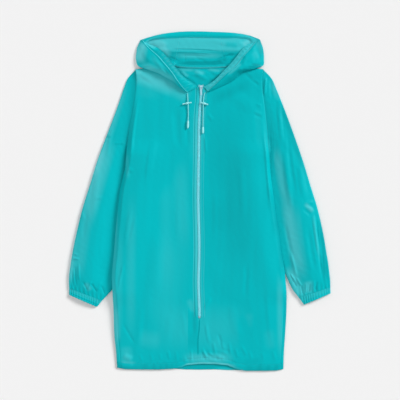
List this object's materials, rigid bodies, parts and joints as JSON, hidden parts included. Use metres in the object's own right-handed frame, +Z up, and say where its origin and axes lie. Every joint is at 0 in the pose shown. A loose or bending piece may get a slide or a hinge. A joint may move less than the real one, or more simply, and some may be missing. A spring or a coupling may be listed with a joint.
{
  "type": "raincoat",
  "caption": "Hooded raincoat with a front zip and elastic cuffs, laid flat on its back with the hood open and a drawcord hanging at the neck.",
  "frame": {"origin": "centre of the bounding box's bottom face, on the surface that the coat lies on", "axes": "+Y from the hem to the hood, +Z up from the surface through the back and then the fronts, +X to the right as seen from above with the hood away from the viewer"},
  "size_m": [0.7862, 1.0202, 0.025],
  "materials": {
    "shell_cloth": "thin coated nylon with a soft sheen",
    "zip_tape": "woven",
    "zip_teeth": "moulded",
    "zip_metal": "enamelled",
    "cord": "braided",
    "clear_plastic": "milky and smooth"
  },
  "bodies": {
    "garment": {"back_panel": "shell_cloth", "front_left": "shell_cloth", "front_right": "shell_cloth", "sleeve_left": "shell_cloth", "sleeve_right": "shell_cloth", "cuff_left": "shell_cloth", "cuff_right": "shell_cloth", "hood_left": "shell_cloth", "hood_right": "shell_cloth", "hood_centre": "shell_cloth", "hood_casing": "shell_cloth", "neck_binding": "shell_cloth", "zip_tape_left": "zip_tape", "zip_tape_right": "zip_tape", "zip_chain": "zip_teeth", "zip_bottom_stop": "zip_metal", "zip_slider": "zip_metal", "drawcord_left": "cord", "drawcord_right": "cord", "cord_stopper_left": "clear_plastic", "cord_stopper_right": "clear_plastic", "cord_tip_left": "clear_plastic", "cord_tip_right": "clear_plastic"},
    "pull_tab": {"pull_tab": "zip_metal"}
  },
  "joints": [
    {"name": "pull_tab_hinge", "type": "hinge", "parent": "garment", "child": "pull_tab", "pos_m": [0.00409, 0.34133, 0.01286], "axis": [-1, 0, 0], "range_deg": [0, 170]}
  ]
}
